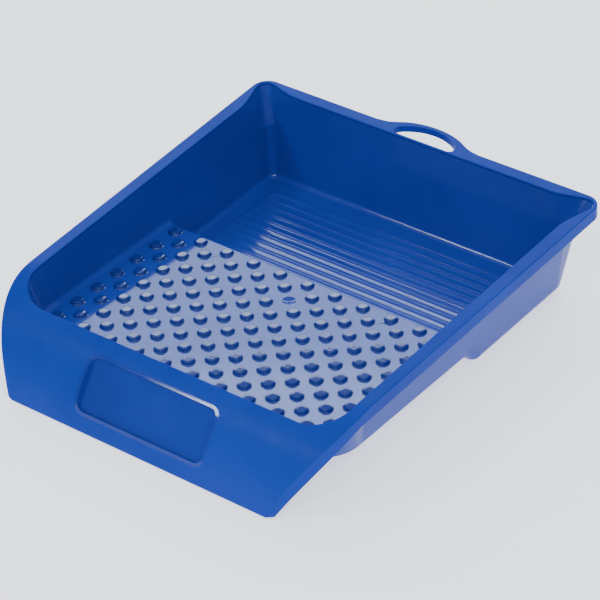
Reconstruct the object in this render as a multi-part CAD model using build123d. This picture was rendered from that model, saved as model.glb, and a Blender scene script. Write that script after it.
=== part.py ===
from build123d import *
import math
import os

# Paint roller tray: one injection moulding, described zone by zone. Millimetres.
# Every zone is drawn in the rim's own frame: X across the tray, Y from the front apron
# to the deep end, Z = 0 on the flat top of the rim. At the end the whole tray is
# turned about X so that it stands on its base and on the apron's lower edge.

# Sheet thickness and the tray's stance
WALL = 2.0
STANCE_DEG = 1.75
STANCE_SLOPE = math.tan(math.radians(STANCE_DEG))

# Rim in plan: the half width grows slightly towards the deep end
RIM_HALF = 153.0
RIM_TAPER = 0.02
RIM_BACK_Y = 201.4
RIM_CORNER_R = 13.0
RIM_EDGE_R = 0.8
LIP_DROP = 10.0
LIP_WALL = 1.8

# Opening and tub walls
TUB_HALF = 142.9
TUB_TAPER = 0.014
TUB_BACK_Y = 190.9
TUB_FRONT_Y = -116.9
SIDE_LEAN = 0.15
END_LEAN = 0.19
BACK_CORNER_R = 6.5
BACK_CORNER_OUT_R = 10.0
FRONT_CORNER_R = 28.0
FOOT_R = 4.5
FOOT_OUT_R = 8.5

# Floor seen from the side: studded ramp, step, well
RAMP_Z = -40.6
RAMP_SLOPE = math.tan(math.radians(3.18))
RAMP_END_Y = 52.5
STEP_FOOT_Y = 67.0
STEP_TOP_R = 2.0
STEP_FOOT_R = 6.0
UNDER_KNEE_Y = 48.0
UNDER_TOE_Y = 64.5
UNDER_KNEE_R = 8.0

# Skirt that carries the outer walls on below the ramp
SKIRT_WALL = 2.2
SKIRT_DROP = 6.7
SKIRT_END_Y = 50.5

# Front apron: a quarter roll down from the rim
APRON_R = 77.5
APRON_START_Y = -81.25
APRON_SWEEP_DEG = 79.2
APRON_SIDE_R = 87.5
APRON_SIDE_Y = -87.25
APRON_FOOT_R = 6.0
APRON_LIP_START_Y = -95.0
APRON_LIP_MID = (-130.3, -29.5)

# Label recess in the apron
LABEL_W = 109.5
LABEL_H = 39.0
LABEL_MID_DEG = 52.5
LABEL_SINK = 4.2
LABEL_CORNER_R = 6.0
LABEL_DRAFT_DEG = 18.0

# Hanging loop in the middle of the back rim
LOOP_ROOT_HALF = 45.0
LOOP_SHOULDER = (25.5, 208.4)
LOOP_TOP_Y = 213.8
LOOP_DEPTH = 5.2
SLOT_HALF = 27.0
SLOT_NEAR_Y = 193.0
SLOT_FAR_Y = 210.4
SLOT_END_R = 4.0

# Pouring spouts pulled out of the two back corners
SPOUT_SIDE_Y = 153.0
SPOUT_BACK_X = 115.0
SPOUT_TIP = (146.5, 190.5)
SPOUT_TIP_R = 7.0
SPOUT_FLARE_DEG = 10.0
SPOUT_DEPTH = 30.0

# Roll-off studs
STUD_PITCH = 25.0
STUD_ROW_STEP = 11.26
STUD_FOOT_R = 5.2
STUD_TOP_R = 3.6
STUD_H = 2.5
STUD_ROWS = range(-4, 9)
GATE_ROW = -2

# Wiping ribs across the well floor
RIB_PITCH = 8.5
RIB_COUNT = 10
RIB_FIRST_Y = 81.7
RIB_SECTION = ((-4.0, 0.0), (-2.4, 0.35), (-0.9, 0.6), (0.9, 0.6), (2.4, 0.35), (4.0, 0.0))
RIB_HALF = 121.0

# Marks that the mould leaves in the ramp
MARK_R = 5.2
GATE_DEPTH = 1.2
GATE_PIP_R = 0.8
GATE_PIP_H = 0.5
EJECTOR_DEPTH = 0.25
EJECTOR_PLACES = ((-75.5, 35.0), (75.5, 35.0))

# Where the moulding is divided into zones
RAMP_ZONE_HALF = 131.0
RAMP_ZONE_FRONT_Y = -103.5
WELL_ZONE_HALF = 126.5
WELL_ZONE_BACK_Y = 168.0
ZONE_FRONT_R = 24.0
ZONE_BACK_R = 11.0
STEP_ZONE = (47.0, 77.0)
FRONT_ZONE_Y = -78.0
FRONT_CORNER_X = 100.0
BACK_CORNER_X = 112.0
BACK_ZONE_Y = 150.0
APRON_SPLIT_X = 72.0

FAR = 400.0
UP = 6.0
DOWN = -110.0


def ramp_z(y):
    """Top of the studded ramp."""
    return RAMP_Z - RAMP_SLOPE * y


def base_z(y):
    """Plane the tray stands on, through the apron's lower edge."""
    apron_foot_y, apron_foot_z = apron_point(WALL, APRON_SWEEP_DEG)
    return apron_foot_z - STANCE_SLOPE * (y - apron_foot_y)


def apron_point(depth, degrees):
    """Point (Y, Z) on the apron section, `depth` below its outer face."""
    turn = math.radians(degrees)
    radius = APRON_R - depth
    return (APRON_START_Y - radius * math.sin(turn), -APRON_R + radius * math.cos(turn))


def across(section):
    """Extrude a section drawn in (Y, Z) right across the tray."""
    return extrude(Plane.YZ * section, amount=FAR, both=True)


def block(x0, x1, y0, y1, z0=DOWN, z1=UP):
    """Axis-aligned box between two corners, used to divide the moulding."""
    return Pos((x0 + x1) / 2, (y0 + y1) / 2, (z0 + z1) / 2) * Box(x1 - x0, y1 - y0, z1 - z0)


def mirrored(shape):
    """The same zone on the other side of the tray."""
    return mirror(shape, about=Plane.YZ)


def sheet_top(depth):
    """Outline of the rim and apron face, `depth` below the top, from the back forward."""
    flat = Line((FAR, -depth), (APRON_START_Y, -depth))
    roll = CenterArc((APRON_START_Y, -APRON_R), APRON_R - depth, 90, APRON_SWEEP_DEG)
    return flat, roll


def sheet_section(top, bottom):
    """Section of the rim and apron between two depths."""
    flat, roll = sheet_top(top)
    low_flat, low_roll = sheet_top(bottom)
    start = Line(low_flat @ 0, flat @ 0)
    end = Line(roll @ 1, low_roll @ 1)
    return make_face([flat, roll, end, low_roll, low_flat, start])


def under_sheet():
    """Everything that lies beneath the rim and apron."""
    flat, roll = sheet_top(WALL)
    fall = Polyline(roll @ 1, (-FAR / 2, DOWN), (FAR, DOWN), flat @ 0)
    return across(make_face([flat, roll, fall]))


def lip_band():
    """Band below the sheet in which the turned-down lip hangs."""
    flat, roll = sheet_top(WALL)
    low_roll = ThreePointArc(roll @ 1, APRON_LIP_MID, (APRON_LIP_START_Y, -LIP_DROP))
    low_flat = Line((APRON_LIP_START_Y, -LIP_DROP), (FAR, -LIP_DROP))
    start = Line((FAR, -LIP_DROP), flat @ 0)
    return across(make_face([flat, roll, low_roll, low_flat, start]))


def rim_half(y):
    """Half width of the rim's outline."""
    return RIM_HALF + RIM_TAPER * y


def rim_outline(inset):
    """Plan of the rim and apron, drawn in by `inset`."""
    side_x = rim_half(APRON_SIDE_Y) - inset
    back_x = rim_half(RIM_BACK_Y) - inset
    back_y = RIM_BACK_Y - inset
    radius = APRON_SIDE_R - inset
    centre = (side_x - radius, APRON_SIDE_Y)
    front_y = -FAR / 2
    roll = CenterArc(centre, radius, 0, -APRON_SWEEP_DEG)
    side = Line((back_x, back_y), (side_x, APRON_SIDE_Y))
    back = Line((0, back_y), (back_x, back_y))
    fall = Polyline(roll @ 1, ((roll @ 1).X, front_y), (0, front_y), (0, back_y))
    half = make_face([back, side, roll, fall])
    corner = half.vertices().filter_by(lambda v: abs(v.X - back_x) < 0.01 and abs(v.Y - back_y) < 0.01)
    half = fillet(corner, RIM_CORNER_R - inset)
    return half + mirrored(half)


def loop_outline():
    """Plan of the bump that the hanging loop makes in the back rim."""
    bump = Spline(
        (-LOOP_ROOT_HALF, RIM_BACK_Y),
        (-LOOP_SHOULDER[0], LOOP_SHOULDER[1]),
        (0, LOOP_TOP_Y),
        LOOP_SHOULDER,
        (LOOP_ROOT_HALF, RIM_BACK_Y),
        tangents=((1, 0), (1, 0)),
    )
    root_y = RIM_BACK_Y - 5.0
    root = Polyline(bump @ 1, (LOOP_ROOT_HALF, root_y), (-LOOP_ROOT_HALF, root_y), bump @ 0)
    return make_face([bump, root])


def slot_outline():
    """Plan of the slot inside the hanging loop: straight near edge, bowed far edge."""
    bow = ThreePointArc((-SLOT_HALF, SLOT_NEAR_Y + 7.0), (0, SLOT_FAR_Y), (SLOT_HALF, SLOT_NEAR_Y + 7.0))
    ends = Polyline(bow @ 1, (SLOT_HALF, SLOT_NEAR_Y), (-SLOT_HALF, SLOT_NEAR_Y), bow @ 0)
    face = make_face([bow, ends])
    return fillet(face.vertices(), SLOT_END_R)


def plan_prism(outline, z0=DOWN, z1=UP):
    """Extrude a plan outline between two heights."""
    return extrude(Pos(0, 0, z0) * outline, amount=z1 - z0)


def tub_plan(grow, z):
    """Four-sided plan of the tub at height z; all four walls lean out upwards."""
    side = grow * math.hypot(1.0, SIDE_LEAN)
    end = grow * math.hypot(1.0, END_LEAN)
    back_y = TUB_BACK_Y + END_LEAN * z + end
    front_y = TUB_FRONT_Y - END_LEAN * z - end
    back_x = TUB_HALF + TUB_TAPER * back_y + SIDE_LEAN * z + side
    front_x = TUB_HALF + TUB_TAPER * front_y + SIDE_LEAN * z + side
    outline = Polyline(
        (-back_x, back_y), (back_x, back_y), (front_x, front_y), (-front_x, front_y), close=True
    )
    return Pos(0, 0, z) * make_face(outline)


def corner_outline(side, back, centre, radius, flare):
    """Corner of the opening: an arc that runs smoothly into the side and back edges."""
    arc = CenterArc(centre, radius, -flare, 90 + 2 * flare)
    side_edge = Spline(side, arc @ 0, tangents=((0, 1), arc % 0))
    back_edge = Spline(arc @ 1, back, tangents=(arc % 1, (-1, 0)))
    return make_face([side_edge, arc, back_edge, Line(back, side)])


def spout(grow):
    """Right-hand corner of the opening, drawn out into a pouring spout."""
    side = (TUB_HALF + TUB_TAPER * SPOUT_SIDE_Y + grow, SPOUT_SIDE_Y)
    back = (SPOUT_BACK_X, TUB_BACK_Y + grow)
    mouth = corner_outline(side, back, SPOUT_TIP, SPOUT_TIP_R + grow, SPOUT_FLARE_DEG)
    low_y = TUB_BACK_Y - END_LEAN * SPOUT_DEPTH + grow - 0.3
    low_x = TUB_HALF + TUB_TAPER * low_y - SIDE_LEAN * SPOUT_DEPTH + grow - 0.3
    heel_r = BACK_CORNER_R + grow
    heel = (low_x - heel_r, low_y - heel_r)
    reach = heel_r + 10.0
    low = corner_outline((low_x - 0.2, low_y - reach), (low_x - reach, low_y - 0.2), heel, heel_r, 0.0)
    return loft([Pos(0, 0, -SPOUT_DEPTH) * low, mouth], ruled=True) + extrude(mouth, amount=UP)


def floor_section(drop, knee_y, toe_y, knee_r, toe_r):
    """Space above a floor line, `drop` below the tray's inner floor."""
    knee = (knee_y, ramp_z(knee_y) - drop)
    toe = (toe_y, base_z(toe_y) + WALL - drop)
    outline = Polyline(
        (-FAR, UP), (-FAR, ramp_z(-FAR) - drop), knee, toe,
        (FAR, base_z(FAR) + WALL - drop), (FAR, UP), close=True,
    )
    face = make_face(outline)
    face = fillet(face.vertices().sort_by_distance((*knee, 0))[0], knee_r)
    return fillet(face.vertices().sort_by_distance((*toe, 0))[0], toe_r)


def tub_walls(grow, back_r):
    """Tapered block that fills the tub out to its four walls, with rounded corners."""
    body = loft([tub_plan(grow, UP), tub_plan(grow, DOWN)], ruled=True)
    posts = body.edges().filter_by(lambda e: e.bounding_box().size.Z > 50)
    posts = posts.sort_by(Axis.Y)
    body = fillet(posts[2:], back_r)
    posts = body.edges().filter_by(lambda e: e.bounding_box().size.Z > 50).sort_by(Axis.Y)
    return fillet(posts[:2], FRONT_CORNER_R + grow)


def tub(grow, section, back_r, foot_r):
    """Solid that fills the tub down to its floor, with a rounded foot all round."""
    body = tub_walls(grow, back_r) & across(section)
    floors = [f for f in body.faces() if abs(f.normal_at().X) < 0.05 and f.normal_at().Z < -0.3]
    rim_of_floor = []
    for face in floors:
        for edge in face.edges():
            shared = sum(1 for other in floors for e in other.edges() if e.is_same(edge))
            if shared == 1:
                rim_of_floor.append(edge)
    return fillet(rim_of_floor, foot_r)


def tub_space():
    """Open space inside the tray."""
    section = floor_section(0.0, RAMP_END_Y, STEP_FOOT_Y, STEP_TOP_R, STEP_FOOT_R)
    corner = spout(0.0)
    return tub(0.0, section, BACK_CORNER_R, FOOT_R) + corner + mirrored(corner)


def tub_skin():
    """The same space grown by the wall thickness: the outside of the tub."""
    section = floor_section(WALL, UNDER_KNEE_Y, UNDER_TOE_Y, UNDER_KNEE_R, STEP_FOOT_R + WALL)
    corner = spout(WALL)
    return tub(WALL, section, BACK_CORNER_OUT_R, FOOT_OUT_R) + corner + mirrored(corner)


def ramp_skirt():
    """The outer walls carried straight on past the ramp as a shallow skirt."""
    high, low = 6.0, -SKIRT_DROP
    band = Polyline(
        (-FAR, ramp_z(-FAR) + low), (SKIRT_END_Y, ramp_z(SKIRT_END_Y) + low),
        (SKIRT_END_Y, ramp_z(SKIRT_END_Y) + high), (-FAR, ramp_z(-FAR) + high), close=True,
    )
    ring = tub_walls(WALL, BACK_CORNER_OUT_R) - tub_walls(WALL - SKIRT_WALL, BACK_CORNER_R)
    return ring & across(make_face(band))


def foot_corner_cuts():
    """What is cut from the two bottom corners of the apron to round them."""
    foot_y, foot_z = apron_point(0.0, APRON_SWEEP_DEG)
    swing = math.asin((APRON_SIDE_Y - foot_y) / APRON_SIDE_R)
    corner_x = rim_half(APRON_SIDE_Y) - APRON_SIDE_R * (1.0 - math.cos(swing))
    lean = math.atan(math.tan(swing) / math.tan(math.radians(APRON_SWEEP_DEG)))
    reach = APRON_FOOT_R * math.tan((math.pi / 2 - lean) / 2)
    start_x = corner_x - reach
    end = (corner_x + reach * math.sin(lean), foot_z + reach * math.cos(lean))
    outline = Polyline(
        (start_x, foot_z - 3.0), (start_x, foot_z + 1.0), end,
        (end[0] + 8.0, end[1]), (end[0] + 8.0, foot_z - 3.0), close=True,
    )
    waste = make_face(outline) - Pos(start_x, foot_z + APRON_FOOT_R) * Circle(APRON_FOOT_R)
    along_side = (math.sin(swing), math.cos(swing), 0)
    cut = extrude(Plane.XZ.offset(-foot_y) * waste, amount=12.0, dir=along_side, both=True)
    return [cut, mirrored(cut)]


def label_plane(depth):
    """Plane parallel to the label, `depth` below the crown of the apron."""
    y, z = apron_point(depth, LABEL_MID_DEG)
    turn = math.radians(LABEL_MID_DEG)
    normal = (0, -math.sin(turn), math.cos(turn))
    return Plane(origin=(0, y, z), x_dir=(1, 0, 0), z_dir=normal)


def label_block(grow):
    """Flat-floored recess for a label, its sides sloping out to the apron's face."""
    sink = LABEL_SINK + grow
    floor = RectangleRounded(LABEL_W + 2 * grow, LABEL_H + 2 * grow, LABEL_CORNER_R + grow)
    return extrude(label_plane(sink) * floor, amount=sink + 4.0, taper=-LABEL_DRAFT_DEG)


def label_recess():
    """Pan that the label sits in, flush with the apron all round."""
    inside_roll = across(Pos(APRON_START_Y, -APRON_R) * Circle(APRON_R))
    return (label_block(WALL) & inside_roll) - label_block(0.0)


def round_top(sheet):
    """Soften every edge of the rim's and the apron's outer face."""
    faces = [f for f in sheet.faces() if f.normal_at().Z > 0.1 and f.bounding_box().size.X > 100]
    edges = []
    for face in faces:
        for edge in face.edges():
            shared = sum(1 for other in faces for e in other.edges() if e.is_same(edge))
            if shared == 1:
                edges.append(edge)
    return fillet(edges, RIM_EDGE_R)


def hang_bar():
    """Deeper bar that closes the hanging loop behind its slot."""
    return plan_prism(loop_outline() - slot_outline(), -LOOP_DEPTH, 0.0)


def on_ramp(x, y):
    """Location standing square on the studded ramp."""
    return Pos(x, y, ramp_z(y)) * Rot(X=-math.degrees(math.atan(RAMP_SLOPE)))


def stud_places():
    """Quincunx of studs: rows of eleven and ten by turns, one left out for the gate."""
    places = []
    for row in STUD_ROWS:
        count = 11 if row % 2 == 0 else 10
        for i in range(count):
            x = (i - (count - 1) / 2) * STUD_PITCH
            if row == GATE_ROW and abs(x) < 1.0:
                continue
            places.append((x, -row * STUD_ROW_STEP))
    return places


def roll_off_studs():
    """Short round studs, narrower at the top, with a softened top edge."""
    stud = Solid.make_cone(STUD_FOOT_R, STUD_TOP_R, STUD_H)
    stud = fillet(stud.edges().sort_by(Axis.Z)[-1], 0.5)
    return [on_ramp(x, y) * stud for x, y in stud_places()]


def gate_dimple():
    """Shallow round dish where the plastic enters the mould, in place of one stud."""
    ball_r = (MARK_R**2 + GATE_DEPTH**2) / (2 * GATE_DEPTH)
    return on_ramp(0, -GATE_ROW * STUD_ROW_STEP) * Pos(0, 0, ball_r - GATE_DEPTH) * Sphere(ball_r)


def gate_pip():
    """Stub of the gate left standing in the middle of the dish."""
    return on_ramp(0, -GATE_ROW * STUD_ROW_STEP) * Pos(0, 0, -GATE_DEPTH) * Cylinder(GATE_PIP_R, 2 * GATE_PIP_H)


def ejector_marks():
    """Two flat rounds that the ejector pins press into the ramp."""
    return [on_ramp(x, y) * Cylinder(MARK_R, 2 * EJECTOR_DEPTH) for x, y in EJECTOR_PLACES]


def wiping_ribs():
    """Low rounded ribs that run right across the well floor."""
    section = make_face(Polyline(*RIB_SECTION, close=True))
    ribs = []
    for i in range(RIB_COUNT):
        y = RIB_FIRST_Y + i * RIB_PITCH
        place = Pos(0, y, base_z(y) + WALL) * Rot(X=-STANCE_DEG)
        ribs.append(place * extrude(Plane.YZ * section, amount=RIB_HALF, both=True))
    return ribs


def rounded_block(x_half, y0, y1, radius, at_front):
    """Zone over a floor, with two rounded corners at one end."""
    zone = block(-x_half, x_half, y0, y1)
    posts = zone.edges().filter_by(Axis.Z).sort_by(Axis.Y)
    return fillet(posts[:2] if at_front else posts[2:], radius)


def floor_zones():
    """The three zones that the floor is divided into."""
    return {
        "ramp_plate": rounded_block(
            RAMP_ZONE_HALF, RAMP_ZONE_FRONT_Y, STEP_ZONE[0], ZONE_FRONT_R, True
        ),
        "step_wall": block(-WELL_ZONE_HALF, WELL_ZONE_HALF, STEP_ZONE[0], STEP_ZONE[1]),
        "well_floor": rounded_block(
            WELL_ZONE_HALF, STEP_ZONE[1], WELL_ZONE_BACK_Y, ZONE_BACK_R, False
        ),
    }


def split_sides(nodes, name, shape, zone):
    """Cut a left-hand zone out of a symmetric shape and mirror it to the right."""
    left = shape & zone
    nodes[name + "_left"] = left
    nodes[name + "_right"] = mirrored(left)


def build_tub(nodes, space):
    """Floors and walls below the rim."""
    shell = ((tub_skin() + ramp_skirt()) - space) & under_sheet()
    walls = shell
    for name, zone in floor_zones().items():
        nodes[name] = shell & zone
        walls = walls - zone
    nodes["ramp_plate"] = nodes["ramp_plate"] - gate_dimple() - ejector_marks() + gate_pip()
    nodes["back_wall"] = walls & block(-BACK_CORNER_X, BACK_CORNER_X, WELL_ZONE_BACK_Y, FAR)
    nodes["front_wall"] = walls & block(-FRONT_CORNER_X, FRONT_CORNER_X, -FAR, FRONT_ZONE_Y)
    split_sides(nodes, "back_corner", walls, block(-FAR, -BACK_CORNER_X, WELL_ZONE_BACK_Y, FAR))
    split_sides(nodes, "front_corner", walls, block(-FAR, -FRONT_CORNER_X, -FAR, FRONT_ZONE_Y))
    split_sides(nodes, "ramp_side", walls, block(-FAR, 0, FRONT_ZONE_Y, STEP_ZONE[0]))
    split_sides(nodes, "well_side", walls, block(-FAR, 0, STEP_ZONE[0], WELL_ZONE_BACK_Y))


def build_rim(nodes, space):
    """Flat rim, front apron, hanging loop and pouring spouts."""
    outline = rim_outline(0.0) + loop_outline()
    sheet = (across(sheet_section(0.0, WALL)) & plan_prism(outline)) - space
    sheet = round_top(sheet - plan_prism(slot_outline()))
    apron = (sheet & block(-FAR, FAR, -FAR, APRON_START_Y)) - foot_corner_cuts()
    nodes["apron_centre"] = (apron & block(-APRON_SPLIT_X, APRON_SPLIT_X, -FAR, FAR)) - label_block(WALL)
    nodes["label_recess"] = label_recess()
    nodes["hang_loop"] = (sheet & block(-LOOP_ROOT_HALF, LOOP_ROOT_HALF, BACK_ZONE_Y, FAR)) + hang_bar()
    split_sides(nodes, "apron", apron, block(-FAR, -APRON_SPLIT_X, -FAR, FAR))
    split_sides(nodes, "rim", sheet, block(-FAR, 0, APRON_START_Y, BACK_ZONE_Y))
    split_sides(nodes, "spout", sheet, block(-FAR, -BACK_CORNER_X, BACK_ZONE_Y, FAR))
    split_sides(nodes, "back_rim", sheet, block(-BACK_CORNER_X, -LOOP_ROOT_HALF, BACK_ZONE_Y, FAR))


def build_lips(nodes):
    """Lip turned down all round the outside of the rim and apron."""
    lip = (plan_prism(rim_outline(0.0) - rim_outline(LIP_WALL)) & lip_band()) - foot_corner_cuts()
    split_sides(nodes, "side_lip", lip, block(-FAR, 0, APRON_START_Y, BACK_ZONE_Y))
    split_sides(nodes, "back_lip", lip, block(-FAR, -LOOP_ROOT_HALF, BACK_ZONE_Y, FAR))
    split_sides(nodes, "apron_lip", lip, block(-FAR, 0, -FAR, APRON_START_Y))


def all_nodes():
    """Every zone of the tray, still in the rim's frame."""
    nodes = {}
    space = tub_space()
    build_tub(nodes, space)
    build_rim(nodes, space)
    build_lips(nodes)
    nodes["roll_off_studs"] = Compound(children=roll_off_studs())
    nodes["wiping_ribs"] = Compound(children=wiping_ribs())
    return nodes


def stand(nodes):
    """Turn the tray onto its base and put the origin under the middle of its outline."""
    turned = {name: Rot(X=STANCE_DEG) * shape for name, shape in nodes.items()}
    boxes = [shape.bounding_box() for shape in turned.values()]
    middle_y = (min(b.min.Y for b in boxes) + max(b.max.Y for b in boxes)) / 2
    floor_z = min(b.min.Z for b in boxes)
    return {name: Pos(0, -middle_y, -floor_z) * shape for name, shape in turned.items()}


def main():
    os.makedirs("parts", exist_ok=True)
    for name, shape in stand(all_nodes()).items():
        export_step(shape, f"parts/{name}.step")


main()
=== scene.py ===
import math

import bmesh
import bpy
from mathutils import Matrix, Vector


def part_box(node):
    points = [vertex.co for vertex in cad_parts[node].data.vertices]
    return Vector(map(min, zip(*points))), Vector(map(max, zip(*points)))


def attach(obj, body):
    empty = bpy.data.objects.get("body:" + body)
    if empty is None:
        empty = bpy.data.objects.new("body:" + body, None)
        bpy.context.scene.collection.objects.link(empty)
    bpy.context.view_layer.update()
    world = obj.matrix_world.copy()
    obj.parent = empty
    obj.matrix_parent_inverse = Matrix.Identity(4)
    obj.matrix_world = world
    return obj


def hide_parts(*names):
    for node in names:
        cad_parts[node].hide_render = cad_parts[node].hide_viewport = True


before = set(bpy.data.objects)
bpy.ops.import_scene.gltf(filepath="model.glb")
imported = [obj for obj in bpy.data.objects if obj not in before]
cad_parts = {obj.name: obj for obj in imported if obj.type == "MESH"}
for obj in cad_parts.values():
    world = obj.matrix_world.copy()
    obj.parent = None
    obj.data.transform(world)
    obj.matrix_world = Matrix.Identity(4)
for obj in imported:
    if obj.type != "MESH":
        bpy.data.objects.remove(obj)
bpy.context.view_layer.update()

# Sizes in metres, the same as the part's own
STANCE = math.radians(1.75)
RAMP_SLOPE = math.radians(3.18)
RAMP_TILT = STANCE - RAMP_SLOPE
STUD_PITCH = 0.025
STUD_ROW_STEP = 0.01126
STUD_ROWS = range(-4, 9)
STUD_MID_ROW = 2
GATE_ROW = -2
STUD_H = 0.0025
RIB_PITCH = 0.0085
RIB_COUNT = 10

# Rib sheet: softer and lower than the part's faceted ribs, and run out at both ends
RIB_H = 0.00042
RIB_RUNOUT = 0.006
RIB_LIFT = 0.00002
RIB_UNDERSIDE = 0.0005
RIB_SHARPNESS = 2.5
RIB_STEPS = 24
RUNOUT_STEPS = 6

# Section of one stud, from its foot fillet up to its flat top (radius, height)
STUD_PROFILE = (
    (0.00600, -0.00010), (0.00565, 0.00003), (0.00530, 0.00014), (0.00500, 0.00034),
    (0.00475, 0.00062), (0.00455, 0.00096), (0.00438, 0.00135), (0.00422, 0.00172),
    (0.00406, 0.00200), (0.00388, 0.00220), (0.00366, 0.00232), (0.00340, 0.00236),
    (0.00200, 0.00235),
)
STUD_TOP_TILT = math.tan(RAMP_SLOPE)
STUD_SEGMENTS = 40

# Words in the names of the satin nodes (rim, lips and apron) and of the side walls
SATIN = ("rim", "apron", "lip", "spout", "hang_loop")
UPRIGHT = ("side", "front_wall")

# Colours
# Navy for the studs: painted shade, darker than the ramp to stand in for their dark flanks
STUD_SHADE_NAVY = (0.0090, 0.030, 0.230)
# Label blue: darker than the apron, painted shade of the label's recess
LABEL_SHADE_BLUE = (0.0120, 0.036, 0.285)
DEEP_BLUE = (0.0170, 0.046, 0.345)
COBALT = (0.0210, 0.055, 0.385)
BLUES = (DEEP_BLUE, COBALT)
LABEL_SHADE_BLUES = (LABEL_SHADE_BLUE, DEEP_BLUE)
# Studs all in navy: painted shade for their flanks
STUD_SHADE_BLUES = (STUD_SHADE_NAVY, STUD_SHADE_NAVY)
FLOOR_GREY = (0.92, 0.92, 0.92, 1)
LAMP_TINT = (0.70, 0.85, 1.0)

# Camera
CAMERA_AT = (1.01191, -1.27416, 1.19865)
CAMERA_AIM = (0.01745, -0.01467, 0.040)
CAMERA_ROLL = math.radians(-2.475)
LENS_MM = 165.07


def link(name, mesh):
    """New object in the scene that shows a mesh."""
    obj = bpy.data.objects.new(name, mesh)
    bpy.context.scene.collection.objects.link(obj)
    return obj


def finish_piece(obj, node_name, material):
    """Give a piece its material and its body, and hide the CAD node it stands in for."""
    obj.data.materials.append(material)
    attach(obj, "root")
    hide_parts(node_name)


# ---------------------------------------------------------------- plastic

class Nodes:
    """Small helper for building one plastic's shader."""

    def __init__(self, name):
        self.material = bpy.data.materials.new(name)
        self.material.use_nodes = True
        self.tree = self.material.node_tree
        self.shader = self.tree.nodes["Principled BSDF"]
        self.place = self.add("ShaderNodeTexCoord").outputs["Object"]

    def add(self, kind, **settings):
        node = self.tree.nodes.new(kind)
        for key, value in settings.items():
            setattr(node, key, value)
        return node

    def join(self, source, target):
        self.tree.links.new(source, target)

    def noise(self, scale, detail, stretch=(1, 1, 1)):
        mapping = self.add("ShaderNodeMapping")
        mapping.inputs["Scale"].default_value = stretch
        texture = self.add("ShaderNodeTexNoise")
        texture.inputs["Scale"].default_value = scale
        texture.inputs["Detail"].default_value = detail
        self.join(self.place, mapping.inputs["Vector"])
        self.join(mapping.outputs["Vector"], texture.inputs["Vector"])
        return texture.outputs["Fac"]

    def spread(self, value, low, high, start=0.35, end=0.65):
        ramp = self.add("ShaderNodeMapRange")
        ramp.inputs["From Min"].default_value = start
        ramp.inputs["From Max"].default_value = end
        ramp.inputs["To Min"].default_value = low
        ramp.inputs["To Max"].default_value = high
        self.join(value, ramp.inputs["Value"])
        return ramp.outputs["Result"]

    def bump(self, height, distance, before=None):
        node = self.add("ShaderNodeBump")
        node.inputs["Distance"].default_value = distance
        self.join(height, node.inputs["Height"])
        if before:
            self.join(before, node.inputs["Normal"])
        return node.outputs["Normal"]

    def colours(self, value, first, second):
        mix = self.add("ShaderNodeMix", data_type="RGBA")
        self.join(value, mix.inputs["Factor"])
        mix.inputs["A"].default_value = (*first, 1.0)
        mix.inputs["B"].default_value = (*second, 1.0)
        return mix.outputs["Result"]


def plastic(name, blues, roughness, gloss, waviness, grain, streaks):
    """Blue moulded plastic, never perfectly even. Waviness, grain and streaks are bump depths."""
    nodes = Nodes(name)
    shader = nodes.shader
    cloud = nodes.noise(14.0, 3.0)
    nodes.join(nodes.colours(nodes.spread(cloud, 0.0, 1.0), *blues), shader.inputs["Base Color"])
    wear = nodes.noise(60.0, 6.0)
    nodes.join(nodes.spread(wear, roughness[0], roughness[1]), shader.inputs["Roughness"])
    normal = nodes.bump(nodes.noise(38.0, 2.0), waviness)
    normal = nodes.bump(nodes.noise(2600.0, 2.0), grain, normal)
    if streaks:
        brushed = nodes.noise(900.0, 3.0, (0.05, 1.0, 1.0))
        normal = nodes.bump(brushed, streaks, normal)
    nodes.join(normal, shader.inputs["Normal"])
    shader.inputs["IOR"].default_value = 1.49
    shader.inputs["Specular IOR Level"].default_value = gloss
    return nodes.material


polished = plastic("polished_cobalt_plastic", BLUES, (0.06, 0.10), 0.36, 0.00002, 0.0000008, 0.0)
satin = plastic("satin_cobalt_plastic", BLUES, (0.26, 0.34), 0.03, 0.00003, 0.000002, 0.000008)
walls = plastic("wall_cobalt_plastic", BLUES, (0.08, 0.14), 0.12, 0.00002, 0.000001, 0.0)
# The label recess floor in a darker blue: painted shade of its recess and tilt
label = plastic("label_painted_shade_plastic", LABEL_SHADE_BLUES, (0.06, 0.10), 0.24, 0.00002, 0.0000008, 0.0)
# Studs in a deeper navy than the ramp: painted shade standing in for their dark flanks
studs = plastic("stud_painted_shade_plastic", STUD_SHADE_BLUES, (0.06, 0.10), 0.50, 0.00001, 0.0000004, 0.0)


def finish_of(name):
    """The plastic of a CAD node, told from its name."""
    if name == "label_recess":
        return label
    if any(word in name for word in SATIN):
        return satin
    if any(word in name for word in UPRIGHT):
        return walls
    return polished


# ---------------------------------------------------------------- studs and ribs

def add_stud(bm, place):
    """One stud turned from its section, its top levelled to the rim's plane."""
    rings = []
    for radius, height in STUD_PROFILE:
        ring = []
        for i in range(STUD_SEGMENTS):
            turn = 2 * math.pi * i / STUD_SEGMENTS
            side = radius * math.sin(turn)
            level = side * STUD_TOP_TILT * max(height, 0.0) / STUD_H
            point = Vector((radius * math.cos(turn), side, height + level))
            ring.append(bm.verts.new(place @ point))
        rings.append(ring)
    for low, high in zip(rings, rings[1:]):
        for i in range(STUD_SEGMENTS):
            j = (i + 1) % STUD_SEGMENTS
            bm.faces.new((low[i], low[j], high[j], high[i]))
    bm.faces.new(list(reversed(rings[0])))
    bm.faces.new(rings[-1])


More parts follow.
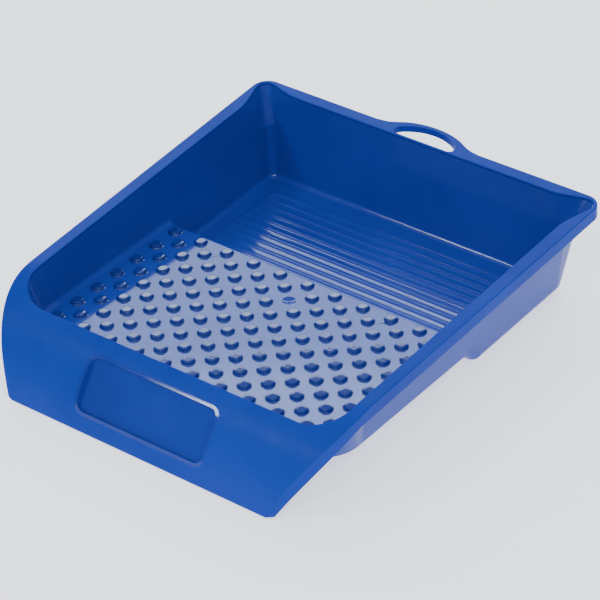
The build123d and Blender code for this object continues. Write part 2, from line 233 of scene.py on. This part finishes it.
def roll_off_studs(material):
    """All the studs, set square on the ramp in staggered rows."""
    low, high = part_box("roll_off_studs")
    turn = Matrix.Rotation(RAMP_TILT, 4, "X")
    middle = (Vector(low) + Vector(high)) / 2 - turn @ Vector((0, 0, STUD_H / 2))
    bm = bmesh.new()
    for row in STUD_ROWS:
        count = 11 if row % 2 == 0 else 10
        for i in range(count):
            x = (i - (count - 1) / 2) * STUD_PITCH
            if row == GATE_ROW and abs(x) < 0.001:
                continue
            along = (STUD_MID_ROW - row) * STUD_ROW_STEP / math.cos(RAMP_SLOPE)
            foot = middle + turn @ Vector((x, along, 0))
            add_stud(bm, Matrix.Translation(foot) @ turn)
    for face in bm.faces:
        face.smooth = True
    mesh = bpy.data.meshes.new("stud_field")
    bm.to_mesh(mesh)
    finish_piece(link("stud_field", mesh), "roll_off_studs", material)


def wiping_ribs(material):
    """Corrugated sheet of ribs that run out towards both side walls."""
    low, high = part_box("wiping_ribs")
    middle_y = (low[1] + high[1]) / 2
    half_y = RIB_COUNT * RIB_PITCH / 2
    floor_z = low[2]
    steps_y = RIB_COUNT * RIB_STEPS
    runout = [RIB_RUNOUT * i / RUNOUT_STEPS for i in range(RUNOUT_STEPS + 1)]
    fades = [*runout, *reversed(runout)]
    xs = [low[0] + r for r in runout] + [high[0] - r for r in reversed(runout)]
    bm = bmesh.new()
    top, bottom = [], []
    for k in range(steps_y + 1):
        y = middle_y - half_y + 2 * half_y * k / steps_y
        wave = ((1 - math.cos(2 * math.pi * k / RIB_STEPS)) / 2) ** RIB_SHARPNESS
        line = []
        for x, fade in zip(xs, fades):
            rise = math.sin(math.pi / 2 * fade / RIB_RUNOUT) ** 2
            height = RIB_LIFT + (RIB_H - RIB_LIFT) * wave * rise
            line.append(bm.verts.new((x, y, floor_z + height)))
        top.append(line)
        bottom.append([bm.verts.new((x, y, floor_z - RIB_UNDERSIDE)) for x in xs])
    for k in range(steps_y):
        for i in range(len(xs) - 1):
            bm.faces.new((top[k][i], top[k][i + 1], top[k + 1][i + 1], top[k + 1][i])).smooth = True
            bm.faces.new((bottom[k + 1][i], bottom[k + 1][i + 1], bottom[k][i + 1], bottom[k][i]))
    for k in range(steps_y):
        for i in (0, -1):
            corners = (top[k][i], top[k + 1][i], bottom[k + 1][i], bottom[k][i])
            bm.faces.new(corners if i == 0 else tuple(reversed(corners)))
    for i in range(len(xs) - 1):
        for k in (0, -1):
            corners = (bottom[k][i], bottom[k][i + 1], top[k][i + 1], top[k][i])
            bm.faces.new(corners if k == 0 else tuple(reversed(corners)))
    mesh = bpy.data.meshes.new("rib_field")
    bm.to_mesh(mesh)
    finish_piece(link("rib_field", mesh), "wiping_ribs", material)


# ---------------------------------------------------------------- studio

def camera():
    data = bpy.data.cameras.new("view")
    data.lens = LENS_MM
    data.sensor_width = 36.0
    data.clip_end = 20.0
    obj = bpy.data.objects.new("view", data)
    bpy.context.scene.collection.objects.link(obj)
    aim = Vector(CAMERA_AIM) - Vector(CAMERA_AT)
    turn = aim.to_track_quat("-Z", "Y").to_matrix().to_4x4()
    turn = turn @ Matrix.Rotation(CAMERA_ROLL, 4, "Z")
    turn.translation = Vector(CAMERA_AT)
    obj.matrix_world = turn
    bpy.context.scene.camera = obj


def floor():
    """Plain pale floor, not part of the tray."""
    mat = bpy.data.materials.new("floor")
    mat.use_nodes = True
    shader = mat.node_tree.nodes["Principled BSDF"]
    shader.inputs["Base Color"].default_value = FLOOR_GREY
    shader.inputs["Roughness"].default_value = 0.9
    shader.inputs["Emission Color"].default_value = (1, 1, 1, 1)
    shader.inputs["Emission Strength"].default_value = 1.1
    shader.inputs["Specular IOR Level"].default_value = 0.0
    mesh = bpy.data.meshes.new("floor")
    bm = bmesh.new()
    bmesh.ops.create_grid(bm, x_segments=1, y_segments=1, size=6)
    bm.to_mesh(mesh)
    mesh.materials.append(mat)
    obj = link("floor", mesh)
    obj.location.z = -0.0005


def panel(name, azimuth, elevation, distance, size, radiance):
    """Soft light seen from the tray at this azimuth (from +Y, towards -X) and elevation."""
    light = bpy.data.lights.new(name, "AREA")
    light.shape = "RECTANGLE"
    light.size, light.size_y = size
    light.energy = radiance * math.pi * size[0] * size[1]
    light.color = LAMP_TINT
    obj = bpy.data.objects.new(name, light)
    bpy.context.scene.collection.objects.link(obj)
    az, el = math.radians(azimuth), math.radians(elevation)
    way = Vector((-math.sin(az) * math.cos(el), math.cos(az) * math.cos(el), math.sin(el)))
    obj.location = way * distance
    obj.rotation_euler = way.to_track_quat("Z", "Y").to_euler()


def studio():
    """Wide low panels behind on the left, a weak overhead box, three small lamps in front."""
    panel("overhead", 0, 88, 2.2, (2.4, 2.4), 0.5)
    panel("window", 38, 30.7, 3.0, (5.0, 0.58), 5.5)
    panel("window_top", 38, 38.4, 3.0, (5.0, 0.22), 9.0)
    panel("lamp_left", 200, 52, 2.4, (0.34, 0.34), 32.0)
    panel("lamp_right", 243, 52, 2.4, (0.34, 0.34), 32.0)
    panel("lamp_far_left", 140, 44, 2.4, (0.24, 0.24), 55.0)
    world = bpy.data.worlds.new("studio")
    world.use_nodes = True
    background = world.node_tree.nodes["Background"]
    background.inputs["Color"].default_value = (1, 1, 1, 1)
    background.inputs["Strength"].default_value = 0.40
    bpy.context.scene.world = world


for name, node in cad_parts.items():
    node.data.materials.clear()
    node.data.materials.append(finish_of(name))
roll_off_studs(studs)
wiping_ribs(polished)
camera()
floor()
studio()
